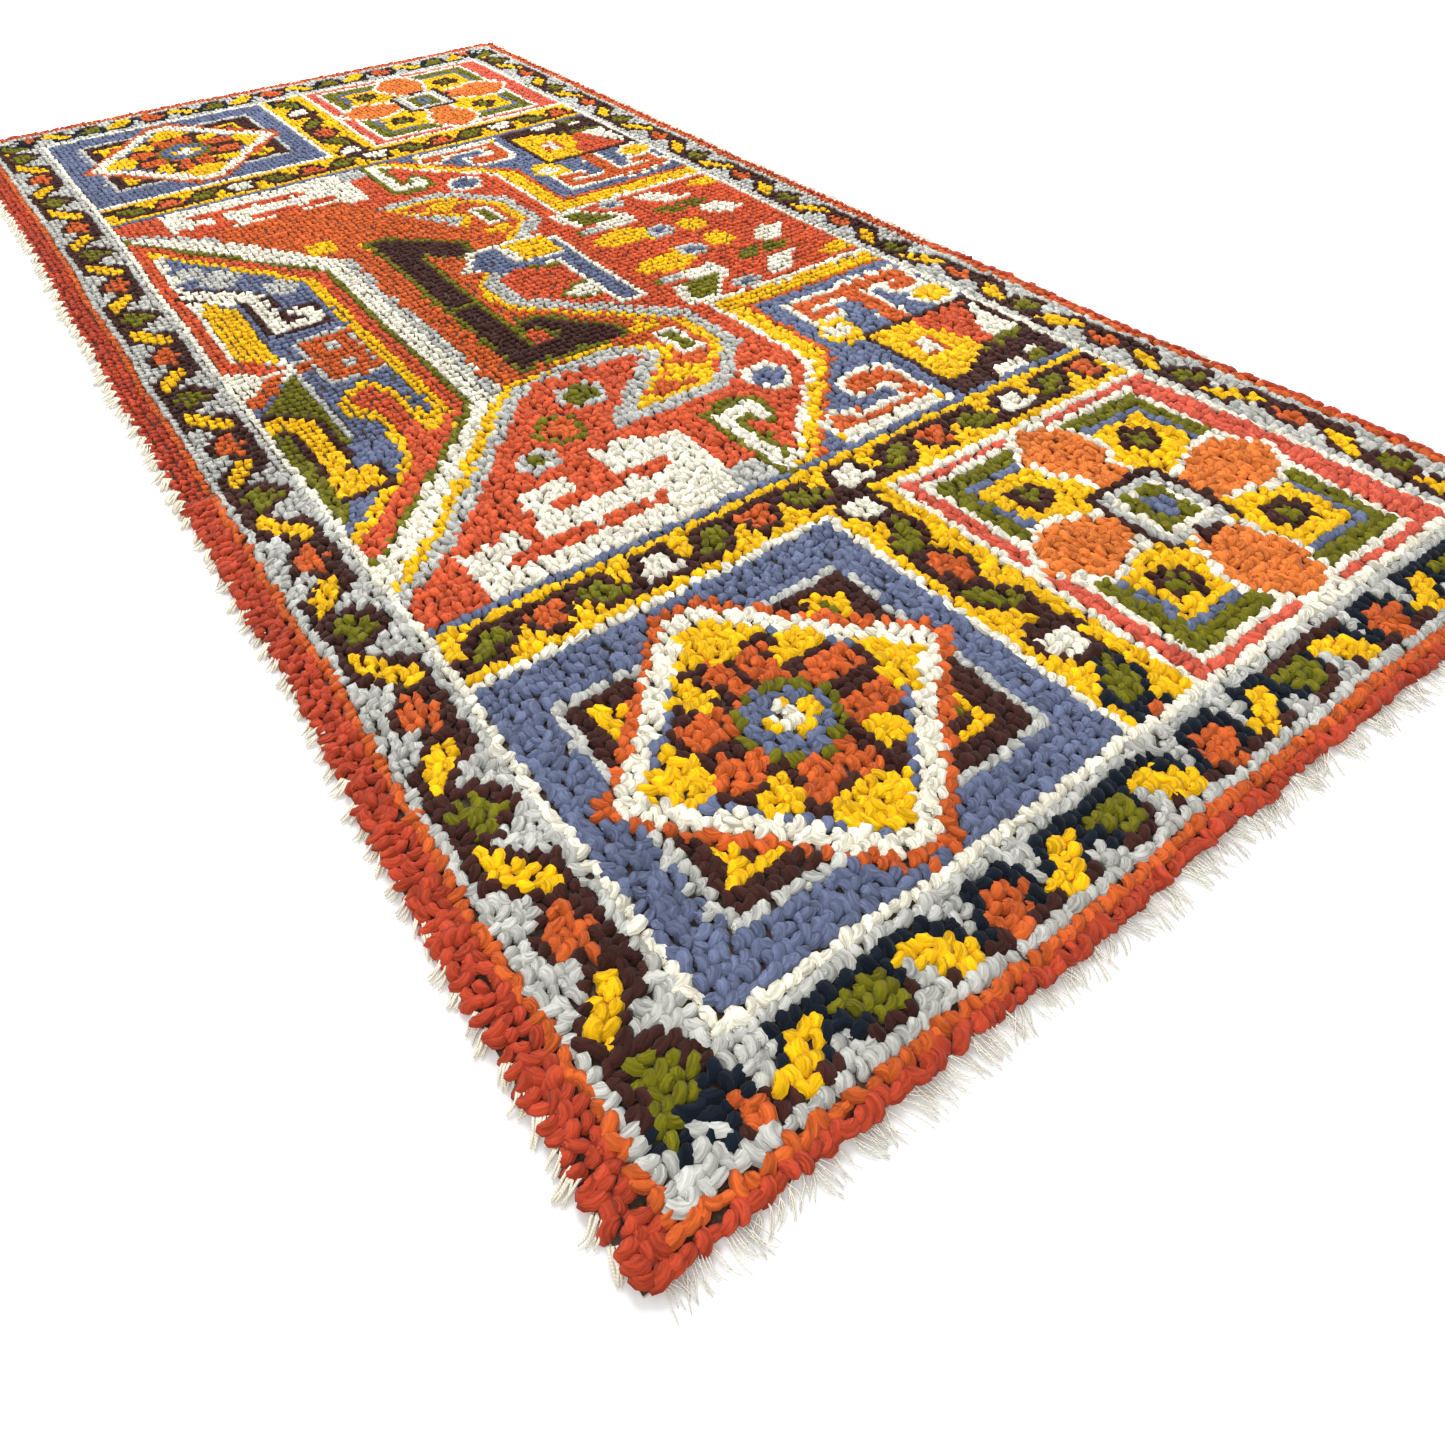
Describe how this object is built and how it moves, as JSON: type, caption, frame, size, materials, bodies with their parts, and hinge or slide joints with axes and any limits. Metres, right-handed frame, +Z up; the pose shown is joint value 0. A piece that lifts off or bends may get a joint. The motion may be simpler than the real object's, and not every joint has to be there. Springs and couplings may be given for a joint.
{
  "type": "oushak rug",
  "caption": "Long hand-knotted wool rug with a thick looped pile, lying flat, with short cut fringes at its ends and weft tufts along its sides.",
  "frame": {"origin": "middle of the rug's underside, on the floor it lies on", "axes": "+X across the rug from its left side to its right, +Y along its length from the near end to the far end, +Z up out of the pile"},
  "size_m": [1.2965, 2.6484, 0.0156],
  "materials": {
    "wool_pile": "thick hand-knotted wool pile in brick red, orange, yellow, slate blue, dark brown, olive, grey and cream",
    "warp_yarn": "undyed plied warp yarn, cut and slightly frayed",
    "weft_yarn": "undyed soft weft yarn in short loops and ends"
  },
  "bodies": {
    "root": {"rug": "wool_pile", "fringe_near": "warp_yarn", "fringe_far": "warp_yarn", "weft_tufts_left": "weft_yarn", "weft_tufts_right": "weft_yarn"}
  },
  "joints": []
}
